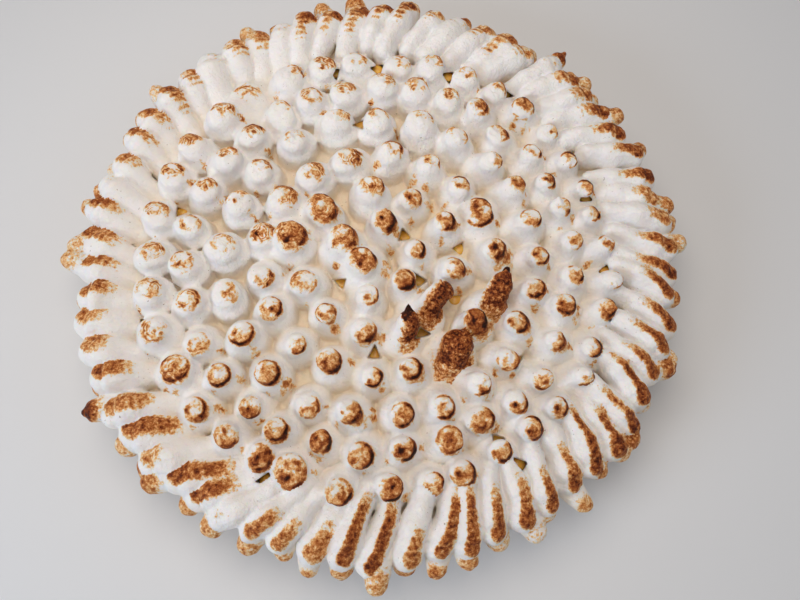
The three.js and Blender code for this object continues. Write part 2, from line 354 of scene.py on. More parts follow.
class Grid:
    """Distances to the piped pieces at the nodes of a grid, as one softened sum."""

    def __init__(self, low, high, step):
        self.step = step
        self.low = np.array(low, float)
        self.axes = [np.arange(a, b, step, dtype=np.float32) for a, b in zip(low, high)]
        shape = tuple(len(axis) for axis in self.axes)
        self.sum = np.zeros(shape, np.float32)
        self.nearest = np.full(shape, 1e3, np.float32)
        self.owner = np.full(shape, -1, np.int16)

    def window(self, low, high):
        """The part of the grid between two corners: its slices and its open coordinates."""
        slices = []
        for axis, a, b in zip(self.axes, low, high):
            slices.append(slice(int(np.searchsorted(axis, a)), int(np.searchsorted(axis, b))))
        x, y, z = (axis[cut] for axis, cut in zip(self.axes, slices))
        return tuple(slices), x[:, None, None], y[None, :, None], z[None, None, :]

    def add(self, owner, window, distance):
        distance = distance.astype(np.float32)
        self.sum[window] += np.exp(-distance / BLEND)
        nearest = self.nearest[window]
        closer = distance < nearest
        nearest[closer] = distance[closer]
        self.owner[window][closer] = owner

    def noise(self, size, seed):
        """Smooth bumps of about that size at every node, with a spread of 1."""
        draws = np.random.default_rng(seed)
        counts = [int((axis[-1] - axis[0]) / size) + 5 for axis in self.axes]
        bumps = draws.uniform(-1, 1, counts).astype(np.float32)
        for number, axis in enumerate(self.axes):
            place = (axis - axis[0]) / size
            cell = place.astype(int)
            f = place - cell
            weights = np.zeros((len(axis), counts[number]), np.float32)
            spline = [(1 - f) ** 3, 3 * f**3 - 6 * f**2 + 4, -3 * f**3 + 3 * f**2 + 3 * f + 1, f**3]
            for offset, weight in enumerate(spline):
                weights[np.arange(len(axis)), cell + offset] = weight / 6
            bumps = np.moveaxis(np.tensordot(weights, bumps, axes=(1, number)), 0, number)
        return bumps / bumps.std()


def outline_table(outline, step=0.25, reach=30.0, low=-12.0, high=30.0):
    """Distances to a body turned round its axis, by distance from the axis and height."""
    r = np.arange(0, reach, step)[:, None]
    z = np.arange(low, high, step)[None, :]
    nearest = np.full((r.size, z.size), 1e3)
    for start, end in zip(outline[:-1], outline[1:]):
        nearest = np.minimum(nearest, np.hypot(*from_line((r, z), start, end)[1]))
    radii, heights = zip(*outline)
    inside = r < np.interp(z, heights, radii, right=0.0)
    return np.where(inside, -nearest, nearest).astype(np.float32), step, low


def looked_up(table, r, z):
    values, step, low = table
    i = np.clip(r / step, 0, values.shape[0] - 1.01)
    j = np.clip((z - low) / step, 0, values.shape[1] - 1.01)
    i0, j0 = i.astype(np.int32), j.astype(np.int32)
    fi, fj = i - i0, j - j0
    lower = values[i0, j0] * (1 - fj) + values[i0, j0 + 1] * fj
    upper = values[i0 + 1, j0] * (1 - fj) + values[i0 + 1, j0 + 1] * fj
    return lower * (1 - fi) + upper * fi


KISS_TABLE = outline_table(KISS_OUTLINE)


# ---- The meringue's pieces as distances ----


def kiss_coordinates(kiss, x, y, z):
    """A point in a kiss's own frame, upright and of the usual size: across, across, up from the feet."""
    up = (z - BASE - FEET_HEIGHT) / kiss.tall
    share = np.clip(up / KISS_HEIGHT, 0, 1.3) ** 2
    across = (x - kiss.foot[0] - kiss.lean[0] * share) / kiss.wide
    along = (y - kiss.foot[1] - kiss.lean[1] * share) / kiss.wide
    c, s = math.cos(kiss.turn), math.sin(kiss.turn)
    return c * across + s * along, c * along - s * across, up


def off_foot(kiss, cone):
    """A rounded cone that is given off a kiss's foot, in the pie's frame."""
    start, end, thick, thin = cone
    feet = np.array([*kiss.foot, FEET_TOP])
    return feet + start, feet + end, thick, thin


def kiss_distance(grid, kiss):
    middle = kiss.foot + kiss.lean / 2
    spread = 17 * kiss.wide + np.abs(kiss.lean) / 2 + 2
    low = (*(middle - spread), BASE - 2)
    high = (*(middle + spread), FEET_TOP + 24 * kiss.tall)
    window, x, y, z = grid.window(low, high)
    u, v, up = kiss_coordinates(kiss, x, y, z)
    nub = 1 + (kiss.nub - 1) * smooth(up, 3, 9)
    r_oval = np.hypot(u * kiss.oval, v / kiss.oval) / nub
    distance = looked_up(KISS_TABLE, r_oval, up + 0 * r_oval)
    # A rim round a part of the cap, and a dip in it
    turned = np.cos(np.arctan2(v, u))
    rim = np.exp(-((np.hypot(u, v) - kiss.rim_radius) ** 2)) * smooth(turned, kiss.rim_open, 1.0)
    dip = np.exp(-(((u + 1.0) ** 2 + v**2) / kiss.dip_radius ** 2))
    distance -= smooth(up, 9.5, 13) * (kiss.rim * rim - kiss.dip * dip)
    # The tail that the nozzle left, folded over
    along = np.clip(u / kiss.tail, 0, 1)
    over = up - TAIL_HEIGHT - 0.8 * along
    tail = np.sqrt((u - along * kiss.tail) ** 2 + v**2 + over**2) - 1.6 + 0.5 * along
    distance = smooth_join(distance, tail, 0.8) * min(kiss.wide, kiss.tall, 1.0)
    for cones, softness in ((DRAGGED_KISSES, 2.0), (HORNS, 1.2)):
        if kiss.name in cones:
            added = cone_distance((x, y, z), *off_foot(kiss, cones[kiss.name]))
            distance = smooth_join(distance, added, softness)
    return window, distance


def cone_distance(point, start, end, thick, thin):
    """Distance to a rounded cone between two points."""
    along, steps = from_line(point, start, end)
    return length_of(steps) - thick - (thin - thick) * along


def smooth_join(a, b, softness):
    """The smooth union of two distances."""
    mix = np.clip(0.5 + 0.5 * (b - a) / softness, 0, 1)
    return b * (1 - mix) + a * mix - softness * mix * (1 - mix)


def stroke_line(stroke):
    """Points along a stroke from its outer end, with half its width and its ridge's height."""
    share = np.linspace(0, 1, 13)
    table = np.array(STROKE_LINE) * (1 - stroke.blob) + np.array(BLOB_LINE) * stroke.blob
    half, ridge = (np.interp(share, table[:, 0], table[:, column]) for column in (1, 2))
    wave = np.sin(2 * np.pi * (1.6 * share + stroke.phase))
    half = half * stroke.wide * (1 + stroke.pulse * wave)
    ridge = (ridge + stroke.rise + stroke.high_end * share) * (1 + 0.6 * stroke.pulse * wave)
    start = stroke.outer + STROKE_REACH - half[0]
    radius = start + (stroke.inner + 2 - start) * share
    turned = stroke.slant * (stroke.outer - radius) / (stroke.outer - stroke.inner)
    sway = np.degrees(stroke.sway * np.sin(np.pi * share) / radius)
    return share, around(radius, stroke.angle + turned + sway).T, half, ridge


def stroke_frame(stroke, x, y):
    """How far aside of a stroke the points are, how far along, on which side, the stroke's half width and
    ridge there, and the step from its middle line to the point."""
    share, middle, half, ridge = stroke.line
    best = None
    for i, (start, end) in enumerate(zip(middle[:-1], middle[1:])):
        along, (dx, dy) = from_line((x, y), start, end)
        step = end - start
        at = share[i] + along * (share[i + 1] - share[i])
        found = np.hypot(dx, dy), at, np.sign(step[0] * dy - step[1] * dx), dx, dy
        best = found if best is None else [np.where(found[0] < best[0], a, b) for a, b in zip(found, best)]
    away, at, side, dx, dy = best
    return away, at, side, np.interp(at, share, half), np.interp(at, share, ridge), dx, dy


def stroke_distance(grid, stroke):
    _, middle, half, ridge = stroke.line
    reach = half.max() + 7
    low = (*(middle.min(0) - reach), BASE - 2)
    high = (*(middle.max(0) + reach), BASE + ridge.max() + 5)
    window, x, y, z = grid.window(low, high)
    flat_x, flat_y = np.broadcast_arrays(x[:, :, 0], y[:, :, 0])
    away, at, _, half_here, ridge_here, _, _ = (a[:, :, None] for a in stroke_frame(stroke, flat_x, flat_y))
    # An upright oval section: its foot is just under the meringue's underside inside the rim
    foot = STROKE_FOOT * (1 - at)
    tall = (ridge_here - foot) / 2
    up = (z - BASE - foot - tall) / tall
    size = np.sqrt((away / half_here) ** 2 + up**2)
    return window, (size - 1) * np.minimum(half_here, tall) * 1.05


def drop_distance(grid, drop):
    """A pointed drop of the lower tier, from under the border outwards."""
    start, end = drop.start, drop.end
    window, x, y, z = grid.window(np.minimum(start, end) - 12, np.maximum(start, end) + 12)
    along, steps = from_line((x, y, z), start, end)
    distance = length_of(steps) - drop.fat * np.interp(along, *zip(*DROP_LINE))
    if drop.nipple > 0:
        outwards = (end - start) / np.linalg.norm(end - start)
        root = end + outwards * 1.5
        nipple = cone_distance((x, y, z), root, root + outwards * drop.nipple + (0, 0, 0.8), 2.8, 1.0)
        distance = smooth_join(distance, nipple, 1.5)
    return window, distance


def add_slab(grid):
    """The feet of the kisses and strokes, run together into one layer."""
    radius = CRUST_RADIUS + 1
    window, x, y, z = grid.window((-radius - 9, -radius - 9, 0), (radius + 9, radius + 9, BASE + 13))
    side = np.hypot(x, y) - radius
    top = z - BASE - FEET_HEIGHT + 1.0
    distance = np.where((side > 0) & (top > 0), np.hypot(side, top), np.maximum(side, top))
    grid.sum[window] += np.exp(-distance / BLEND).astype(np.float32)


def make_curd_swells(material):
    """The curd swelled up a little in the openings between the kisses."""
    here = np.arange(SWELL_SIDES)
    after = (here + 1) % SWELL_SIDES
    circle = around(SWELL_RADIUS, here * 360 / SWELL_SIDES).T
    vertices, quads, triangles = [], [], []
    for radius, angle in CURD_GAPS + SMALL_GAPS:
        foot = around(radius, angle)
        first = len(vertices)
        for wide, share in SWELL_STEPS:
            height = share * (SWELL_HEIGHT if radius < 120 else HIGH_SWELL)
            z = CRUST_HEIGHT + (height or -SWELL_SUNK)
            lean = height / (GAPS_LEAN_TO[2] - CRUST_HEIGHT)
            middle = foot + lean * (np.array(GAPS_LEAN_TO[:2]) - foot)
            vertices += [(x, y, z) for x, y in middle + wide * circle]
        for row in range(len(SWELL_STEPS) - 1):
            a, b = first + row * SWELL_SIDES + here, first + row * SWELL_SIDES + after
            quads += zip(a, b, b + SWELL_SIDES, a + SWELL_SIDES)
        for ring, (one, two) in ((first, (after, here)), (len(vertices) - SWELL_SIDES, (here, after))):
            vertices.append(np.mean(vertices[ring:ring + SWELL_SIDES], axis=0))
            triangles += [(ring + a, ring + b, len(vertices) - 1) for a, b in zip(one, two)]
    piece = mesh_piece("curd_swells", material, np.array(vertices, float), np.array(quads), triangles)
    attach(piece, "root")


def carve_gaps(grid, field):
    """Opens the places where the curd shows, with pegs that widen upwards."""
    draws = looks_draws(0)
    for radius, angle in CURD_GAPS + SMALL_GAPS:
        place = around(radius, angle)
        turn = math.radians(angle + draws.uniform(-25, 25))
        size = draws.uniform(0.9, 1.4)
        stretch = draws.uniform(0.75, 1.3)
        window, x, y, z = grid.window((*(place - 21), BASE - 3), (*(place + 21), BASE + 18))
        c, s = math.cos(turn), math.sin(turn)
        height = (z - BASE) / (GAPS_LEAN_TO[2] - BASE)
        x = x - place[0] - height * (GAPS_LEAN_TO[0] - place[0])
        y = y - place[1] - height * (GAPS_LEAN_TO[1] - place[1])
        u = (x * c + y * s) * stretch
        v = np.abs(y * c - x * s) / stretch
        flare = 0.22 * np.clip(z - BASE - 0.5, 0, 6)
        peg = np.maximum(u, 0.866 * v - 0.5 * u) - size - flare  # three-sided
        field[window] = -smooth_join(-field[window], peg, 0.3)


# ---- From the grid to meshes ----


def surface_of(grid, field):
    """The surface where the field is zero: vertices, quads and each vertex's cell."""
    inside = field < 0
    shape = tuple(n - 1 for n in field.shape)
    corners = list(np.ndindex(2, 2, 2))
    count = np.zeros(shape, np.int8)
    for corner in corners:
        count += inside[tuple(slice(first, first + n) for first, n in zip(corner, shape))]
    cells = np.argwhere((count > 0) & (count < 8))
    number = np.full(shape, -1, np.int32)
    number[tuple(cells.T)] = np.arange(len(cells))
    total = np.zeros((len(cells), 3))
    crossings = np.zeros((len(cells), 1))
    for corner in corners:
        for step in np.eye(3, dtype=int):
            if corner @ step:
                continue
            a, b = (field[tuple((cells + end).T)].astype(float)[:, None] for end in (corner, corner + step))
            crossed = (a < 0) != (b < 0)
            total += crossed * (corner + a / np.where(crossed, a - b, 1) * step)
            crossings += crossed
    vertices = grid.low + grid.step * (cells + total / crossings)
    quads = []
    for axis, others in enumerate([(1, 2), (2, 0), (0, 1)]):
        edges = np.argwhere(np.diff(inside, axis=axis))
        across = edges[:, others]
        edges = edges[np.all((across > 0) & (across < np.array(field.shape)[[*others]] - 1), axis=1)]
        quad = []
        for back in [(1, 1), (0, 1), (0, 0), (1, 0)]:
            cell = edges.copy()
            cell[:, others] -= back
            quad.append(number[tuple(cell.T)])
        quad = np.stack(quad, axis=1)
        quads.append(np.where(inside[tuple(edges.T)][:, None], quad, quad[:, ::-1]))
    return vertices, np.concatenate(quads), cells


def without_hollows(quads, count):
    """The largest surface alone, without those of the small hollows that are shut in under it."""
    label = np.arange(count)
    while True:
        lowest = label[quads].min(axis=1)
        merged = label.copy()
        for corner in range(4):
            np.minimum.at(merged, quads[:, corner], lowest)
        merged = merged[merged]
        if (merged == label).all():
            break
        label = merged
    here = label[quads[:, 0]]
    names, counts = np.unique(here, return_counts=True)
    return quads[here == names[np.argmax(counts)]]


def slopes_at(field, cells):
    """The field's direction of growth at each cell, which is the surface's normal."""
    normals = np.zeros((len(cells), 3))
    for axis in range(3):
        ahead, behind = cells.copy(), cells.copy()
        ahead[:, axis] = np.minimum(ahead[:, axis] + 2, field.shape[axis] - 1)
        behind[:, axis] = np.maximum(behind[:, axis] - 1, 0)
        normals[:, axis] = field[tuple(ahead.T)] - field[tuple(behind.T)]
    return unit_rows(normals)


def flat_underside(vertices, quads, level, tolerance):
    """Swaps the many small faces of a flat underside for a few triangles. Returns quads and triangles."""
    under = (np.abs(vertices[:, 2] - level) < tolerance)[quads].all(axis=1)
    removed = quads[under]
    edges = np.sort(np.concatenate([removed[:, [i, (i + 1) % 4]] for i in range(4)]), axis=1)
    edges, counts = np.unique(edges, axis=0, return_counts=True)
    names, ends = np.unique(edges[counts == 1], return_inverse=True)
    vertices[names, 2] = level
    points = [Vector(point) for point in vertices[names, :2]]
    made, _, faces, origins, _, _ = delaunay_2d_cdt(points, ends.reshape(-1, 2).tolist(), [], 0, 1e-5, True)
    nodes = {(round(x / STEP), round(y / STEP)) for x, y, _ in vertices[removed].mean(axis=1)}
    triangles = []
    for face in faces:
        middle = sum((made[corner] for corner in face), Vector((0, 0))) / 3
        if (round(middle.x / STEP), round(middle.y / STEP)) in nodes:
            triangles.append([names[origins[corner][0]] for corner in reversed(face)])
    return quads[~under], triangles


def mesh_piece(name, material, vertices, quads, triangles=(), attributes=None):
    """A smooth-shaded object from arrays in millimetres, without unused vertices."""
    corners = np.concatenate([quads.ravel(), np.array(triangles, np.int64).ravel()])
    used, loops = np.unique(corners, return_inverse=True)
    sizes = np.repeat([4, 3], [len(quads), len(triangles)])
    mesh = bpy.data.meshes.new(name)
    mesh.vertices.add(len(used))
    mesh.vertices.foreach_set("co", (vertices[used] * MM).astype(np.float32).ravel())
    mesh.loops.add(len(loops))
    mesh.loops.foreach_set("vertex_index", loops.astype(np.int32))
    mesh.polygons.add(len(sizes))
    mesh.polygons.foreach_set("loop_start", (np.cumsum(sizes) - sizes).astype(np.int32))
    mesh.update(calc_edges=True)
    mesh.polygons.foreach_set("use_smooth", np.ones(len(sizes), bool))
    for key, values in (attributes or {}).items():
        data = mesh.attributes.new(key, "FLOAT", "POINT").data
        data.foreach_set("value", values[used].astype(np.float32))
    mesh.materials.append(material)
    return add_object(name, mesh)


# ---- How toasted each point is ----


def kiss_toast(kiss, points, normals):
    """0 where the flame left the kiss white, 0.5 at the edge of the brown, 1 and more where it is darkest.
    Also gives the point's place on the cap."""
    u, v, up = kiss_coordinates(kiss, *points.T)
    c, s = math.cos(kiss.turn), math.sin(kiss.turn)
    x, y = (c * u - s * v) * kiss.wide, (s * u + c * v) * kiss.wide
    strength = kiss.toast
    out = unit_rows(np.c_[x, y, (up - NUB_CENTRE) * kiss.tall])
    facing = 0.8 * (out @ kiss.torch) + 0.2 * (normals @ kiss.torch)
    angle = np.degrees(np.arccos(np.clip(facing, -1, 1)))
    reach = CAP_REACH[0] + CAP_REACH[1] * strength
    most = 0.5 + 0.16 * strength - 0.03 * kiss.ball
    toast = np.clip(0.48 + (reach - angle) * TOAST_PER_DEGREE, 0, most)
    nub = NUB_RADIUS * kiss.wide * kiss.nub

    def near(place, size):
        return np.exp(-((x - place[0] * nub) ** 2 + (y - place[1] * nub) ** 2) / size**2)

    for place, size, amount in kiss.spots:
        toast += amount * near(place, size) * smooth(up, 9, 12)
    for place, size, amount in kiss.flakes:
        toast = np.maximum(toast, amount * near(place, size))
    # A dark line along the shoulder of the nub, on one side
    towards = np.cos(np.arctan2(y, x) - math.radians(kiss.ring_turn))
    ring = np.exp(-(((np.hypot(x, y) / nub - kiss.ring_radius) / 0.1) ** 2))
    ring *= smooth(towards, kiss.ring_open, kiss.ring_open + 0.6)
    toast += kiss.ring_depth * ring * smooth(up, 11, 13) * (toast > 0.1)
    toast = np.where(strength < 0.03, 0, np.clip(toast, 0, 1.1))
    name = kiss.name
    if name in DRAGGED_KISSES:
        toast = np.maximum(drag_toast(kiss, points), 0.5 * toast if name == (4, 9) else 0)
    if name in HORNS:
        root, end, thick, thin = off_foot(kiss, HORNS[name])
        step = end - root
        burnt = np.maximum(toast, 0.8 + 0.3 * ((points - root) @ step) / (step @ step))
        toast = np.where(cone_distance(points.T, root, end, thick, thin) < 0.7, burnt, toast)
    grainy = 1.1 if name in DRAGGED_KISSES else 0.6
    return toast, np.sqrt(x**2 + y**2 + (17 - up) ** 2), kiss.arcs, grainy


def drag_toast(kiss, points):
    """A dragged tip is burnt all along the side that faced the flame."""
    torch, edge = DRAG_TORCH[kiss.name]
    start, end, thick, thin = off_foot(kiss, DRAGGED_KISSES[kiss.name])
    along, steps = from_line(points.T, start, end)
    away = length_of(steps)
    facing = torch @ np.array(steps) / np.maximum(away, 1e-6)
    fat = max(thick, thin)
    near = smooth(-away, -1.75 * fat, -1.3 * fat)
    return near * np.clip(0.5 + (facing - edge) * 0.8, 0, 0.78 - 0.18 * smooth(-along, -0.3, 0))


def stroke_toast(stroke, points, normals):
    away, at, side, half, ridge, dx, dy = stroke_frame(stroke, points[:, 0], points[:, 1])
    length = np.linalg.norm(stroke.line[1][-1] - stroke.line[1][0])
    tall = (ridge - STROKE_FOOT * (1 - at)) / 2
    up = (points[:, 2] - BASE - ridge + tall) / tall
    out = unit_rows(np.c_[dx / half**2, dy / half**2, up / tall])
    facing = 0.85 * (out @ stroke.torch) + 0.15 * (normals @ stroke.torch)
    inward = (stroke.toast_length - at) * length / FADE_LENGTH
    tip = stroke.tip_toast * smooth(-at, -0.2, 0)
    over = (facing - stroke.toast_edge + tip) / FADE_ROUND
    toast = 0.5 + np.minimum(inward, over) * 0.5
    bands = np.sin(2 * np.pi * (at * length + 2.2 * side * away / half) / stroke.band)
    most = 0.47 + 0.21 * stroke.toast - 0.07 * max(stroke.blob, stroke.banded / 0.09)
    toast = np.clip(toast, 0, most) + stroke.banded * bands * (toast > 0.3)
    toast += 0.14 * np.clip(over, 0, 0.8) * (toast > 0.3)
    if stroke.toast < 0.15:
        toast *= 0.6
    return toast, 0, 0, 0.75


def drop_toast(drop, points, normals):
    step = drop.end - drop.start
    along = ((points - drop.start) @ step) / (step @ step)
    toast = 0.5 + (along - drop.toast_from) * 1.1 + 0.25 * (normals[:, 2] - 0.3)
    return np.clip(toast, 0, drop.toast), 0, 0, 0.8


# ---- Materials ----


class Nodes:
    """Short calls for building a node material. An input's name has _ for each space."""

    def __init__(self, name):
        self.material = bpy.data.materials.new(name)
        self.material.use_nodes = True
        self.tree = self.material.node_tree
        self.place = self.new("ShaderNodeTexCoord", "Object")

    def put(self, socket, value):
        if isinstance(value, bpy.types.NodeSocket):
            self.tree.links.new(value, socket)
        else:
            socket.default_value = value

    def fill(self, node, values):
        """Sets a node's settings and inputs."""
        for key, value in values.items():
            if hasattr(node, key):
                setattr(node, key, value)
            else:
                self.put(node.inputs[key.replace("_", " ")], value)

    def look(self, **inputs):
        """Sets the shader's own inputs."""
        self.fill(self.tree.nodes["Principled BSDF"], inputs)
        return self.material

    def new(self, kind, output, **values):
        node = self.tree.nodes.new(kind)
        self.fill(node, values)
        return node.outputs[output]

    def math(self, operation, a, b=0.0):
        result = self.new("ShaderNodeMath", 0, operation=operation)
        for socket, value in zip(result.node.inputs, (a, b)):
            self.put(socket, value)
        return result

    def times(self, a, b):
        return self.math("MULTIPLY", a, b)

    def plus(self, value, more, share):
        """A value and a share of another."""
        return self.math("ADD", value, self.times(more, share))

    def attribute(self, name):
        return self.new("ShaderNodeAttribute", "Fac", attribute_name=name)

    def noise(self, size, detail, roughness, distortion=0.0):
        """A noise texture with features of about that many millimetres, from 0 to 1."""
        return self.new("ShaderNodeTexNoise", "Fac", Vector=self.place, Scale=1 / (size * MM), Detail=detail,
                        Roughness=roughness, Distortion=distortion)

    def centred(self, *noise):
        return self.math("SUBTRACT", self.noise(*noise), 0.5)

    def ramp(self, value, stops):
        colour = self.new("ShaderNodeValToRGB", "Color", Fac=value)
        elements = colour.node.color_ramp.elements
        while len(elements) < len(stops):
            elements.new(0.5)
        for element, (place, screen_colour) in zip(elements, stops):
            element.position = place
            element.color = linear(*screen_colour)
        return colour

    def ranged(self, value, low, high, to_low=0.0, to_high=1.0):
        return self.new("ShaderNodeMapRange", "Result", interpolation_type="SMOOTHSTEP", Value=value,
                        From_Min=low, From_Max=high, To_Min=to_low, To_Max=to_high)

    def mix(self, share, a, b):
        node = self.new("ShaderNodeMix", 0, data_type="RGBA", Factor=share).node
        for socket, value in zip([s for s in node.inputs if s.type == "RGBA"], (a, b)):
            self.put(socket, value)
        return next(s for s in node.outputs if s.type == "RGBA")

    def bump(self, height, distance, strength, **under):
        """The normal of a relief of that many millimetres."""
        return self.new("ShaderNodeBump", "Normal", Height=height, Distance=distance * MM,
                        Strength=strength, **under)


def linear(red, green, blue):
    """A colour of a screen, 0 to 255, as linear light."""
    shares = [c / 255 for c in (red, green, blue)]
    return (*(c / 12.92 if c <= 0.04045 else ((c + 0.055) / 1.055) ** 2.4 for c in shares), 1)


def meringue_material():
    n = Nodes("meringue")
    toast = n.attribute("toast")
    # Rings of thin folds round a nub, where the foam burnt first
    turns = n.plus(n.times(n.attribute("arc"), 2.9), n.noise(5.0, 1, 0.5), 26)
    folds = n.times(n.math("SINE", turns), n.attribute("arcs"))
    grains = n.plus(n.times(n.centred(1.5, 2, 0.5), 0.65), n.centred(0.6, 1, 0.5), 0.35)
    grainy = n.attribute("grainy")
    patchy = n.ranged(grainy, 0.62, 0.74, 0.78, 0.48)  # the kisses' caps are the least even
    value = n.plus(toast, grains, grainy)
    value = n.plus(value, n.centred(4.0, 3, 0.5, 0.8), patchy)
    value = n.plus(value, n.times(folds, 0.1), n.ranged(toast, 0.4, 0.55))
    brown = n.ramp(value, [
        (0.40, (250, 236, 212)),
        (0.48, (243, 208, 158)),
        (0.56, (224, 164, 102)),
        (0.64, (192, 120, 64)),
        (0.73, (150, 78, 36)),
        (0.84, (96, 40, 17)),
        (0.95, (46, 18, 9)),
    ])
    # Painted shade: the foam turns from white to a warmer, darker beige low down, in the valleys and creases
    # between the piped pieces, where shade falls
    foam_with_painted_shade = n.mix(n.attribute("painted_low_shade"), linear(243, 241, 241), linear(240, 226, 206))
    edge = n.ranged(value, 0.385, 0.455)
    colour = n.mix(edge, foam_with_painted_shade, brown)
    where = n.ranged(n.noise(14, 1, 0.5), 0.5, 0.62)
    specks = n.times(n.ranged(n.noise(1.1, 1, 0.4), 0.73, 0.77), where)
    foam_bump = n.bump(n.noise(2.0, 5, 0.62, 0.5), 1.5, 0.8)
    toasted_relief = n.times(n.noise(1.3, 3, 0.65), edge)
    return n.look(
        Base_Color=n.mix(n.times(specks, 0.7), colour, linear(120, 84, 52)),
        Roughness=n.ranged(value, 0.4, 0.9, 0.62, 0.5),
        Specular_IOR_Level=n.ranged(value, 0.4, 0.7, 0.3, 0.12),
        Subsurface_Weight=0.5,
        Subsurface_Radius=(1.0, 0.75, 0.5),
        Subsurface_Scale=2.2 * MM,
        Normal=n.bump(toasted_relief, 0.7, 0.8, Normal=foam_bump),
    )


def curd_material():
    n = Nodes("lemon_curd")
    return n.look(
        Base_Color=n.ramp(n.noise(9, 3, 0.5), [(0.3, (232, 172, 72)), (0.7, (242, 192, 96))]),
        Roughness=0.22,
        Subsurface_Weight=0.6,
        Subsurface_Radius=(1.0, 0.6, 0.15),
        Subsurface_Scale=3 * MM,
        Normal=n.bump(n.noise(3.5, 2, 0.5), 0.4, 0.5),
    )


def pastry_material():
    n = Nodes("pastry")
    value = n.plus(n.attribute("baked"), n.centred(6, 4, 0.6), 0.7)
    value = n.plus(value, n.centred(1.2, 3, 0.6), 0.35)
    crumb = n.bump(n.noise(0.9, 4, 0.7), 0.35, 0.8)
    return n.look(
        Base_Color=n.ramp(value, [
            (0.1, (226, 196, 146)),
            (0.45, (206, 162, 102)),
            (0.75, (176, 122, 66)),
            (1.0, (132, 82, 42)),
        ]),
        Roughness=0.72,
        Specular_IOR_Level=0.3,
        Subsurface_Weight=0.15,
        Subsurface_Radius=(1.0, 0.6, 0.35),
        Subsurface_Scale=1.5 * MM,
        Normal=n.bump(n.noise(3.2, 3, 0.6), 0.6, 0.6, Normal=crumb),
    )


def floor_material():
    return Nodes("floor").look(Base_Color=linear(224, 226, 230), Roughness=0.6)


# ---- The meringue ----


def toast_of_field(kiss):
    """How toasted a kiss is, where it isn't named: the flame stayed longest over the front of the pie."""
    towards_front = math.cos(math.radians(kiss.angle - 275))
    return 0.34 + 0.3 * max(towards_front, 0) ** 0.7


def toast_spots(strength, draws):
    """Pale and dark spots of a cap: place in nub radii, size in millimetres and how much browner."""
    spots = []
    if draws.uniform() < 0.8 and strength < 1.1:
        place = draws.normal(0, 0.16, 2) + (0.05, 0.25)
        spots.append((place, draws.uniform(1.8, 3.4), -draws.uniform(0.12, 0.45)))
    if draws.uniform() < 0.7:
        place = draws.normal(0, 0.2, 2) - (0.15, 0.15)
        spots.append((place, draws.uniform(0.9, 1.7), draws.uniform(0.2, 0.45) * min(1, 0.4 + strength)))
    return spots


def toast_flakes(strength, draws):
    """Golden flakes below the cap, on its southern side: place, size and how brown, as in toast_spots."""
    flakes = []
    for _ in range(4):
        if draws.uniform() < 0.62 * strength:
            place = draws.uniform(1.25, 1.65) * around(1, draws.uniform(-150, 20))
            flakes.append((place, draws.uniform(2.2, 4.4), draws.uniform(0.5, 0.62)))
    return flakes


def dress_kisses(kisses):
    draws = looks_draws(1)
    for kiss in kisses:
        x, y = kiss.foot
        kiss.oval = draws.uniform(0.94, 1.07)
        ball = kiss.ball = smooth(y - x, -20, 75)
        kiss.nub = draws.uniform(0.94, 1.06) - 0.14 * smooth(x, 60, 110) + 0.22 * ball
        if kiss.name in DRAGGED_KISSES:
            kiss.nub = DRAGGED_NUB
        kiss.update(drawn(draws, KISS_DETAILS))
        torch = torch_at(kiss.foot, 0) + draws.normal(0, 0.12, 3)
        kiss.torch = torch / np.linalg.norm(torch)
        usual = toast_of_field(kiss) + draws.uniform(-0.16, 0.16)
        ring, index = kiss.name
        kiss.toast = TOASTED_KISSES[ring].get(index, usual)
        kiss.update(drawn(draws, RING_DETAILS))
        kiss.ring_depth *= 1 - 0.6 * ball
        kiss.arcs = ball * (1 - 0.5 * smooth(kiss.toast, 0.5, 0.9))
        kiss.spots = toast_spots(kiss.toast, draws)
        kiss.flakes = toast_flakes(kiss.toast, draws)


def dress_strokes(strokes):
    draws = looks_draws(2)
    for stroke in strokes:
        angle = stroke.angle
        front, blob, back, right, left = (on_side(angle, *side) for side in SIDES)
        stroke.update(drawn(draws, STROKE_DETAILS))
        stroke.group = "border_back" if angle % 360 < 180 else "border_front"
        stroke.blob = blob
        stroke.high_end = HIGH_ENDS * (1 - blob)
        stroke.inner -= 4 * front
        stroke.wide *= 1 - 0.06 * front
        stroke.line = stroke_line(stroke)
        _, length, amount = TOASTED_STROKES[nearest_angle([row[0] for row in TOASTED_STROKES], angle)]
        stroke.toast_length = length + draws.uniform(-0.05, 0.05)
        stroke.toast = amount + draws.uniform(-0.1, 0.1)
        stroke.toast_edge = 0.82 - 0.13 * back
        stroke.banded = 0.03 + 0.06 * back
        stroke.tip_toast = 0.1 + 0.1 * blob + 0.06 * back
        torch = torch_at(around(145, angle) * (0.7, 1), 0.2 + 0.4 * left)
        stroke.torch = torch * (1 - right) + np.array(RIGHT_TORCH) * right


def drop_layout(strokes):
    """One drop under each crease of the border."""
    draws = looks_draws(3)
    drops = []
    for i, stroke in enumerate(strokes):
        step = (strokes[(i + 1) % STROKE_COUNT].angle - stroke.angle) % 360
        angle = stroke.angle + 0.5 * step - 1.9
        out = draws.uniform() < 0.35  # about a third stick out further
        reach = draws.uniform(153, 159) + 3 * out
        start = np.array([*around(143, angle + draws.uniform(-1, 1)), BASE + draws.uniform(7.5, 9)])
        tip_height = BASE + draws.uniform(5, 9) + 2.5 * out
        tip = np.array([*around(reach, angle + draws.uniform(-1.2, 1.2)), tip_height])
        details = drawn(draws, DROP_DETAILS)
        drops.append(Piped(start=start, end=tip, angle=angle, group="lower_tier", **details))
    for angle, reach, height, fat, nipple, toast in NAMED_DROPS:
        drop = drops[nearest_angle([drop.angle for drop in drops], angle)]
        drop.end = np.array([*around(reach, angle), BASE + height])
        drop.update(fat=fat, nipple=nipple, toast=toast, toast_from=0.97)
    return drops


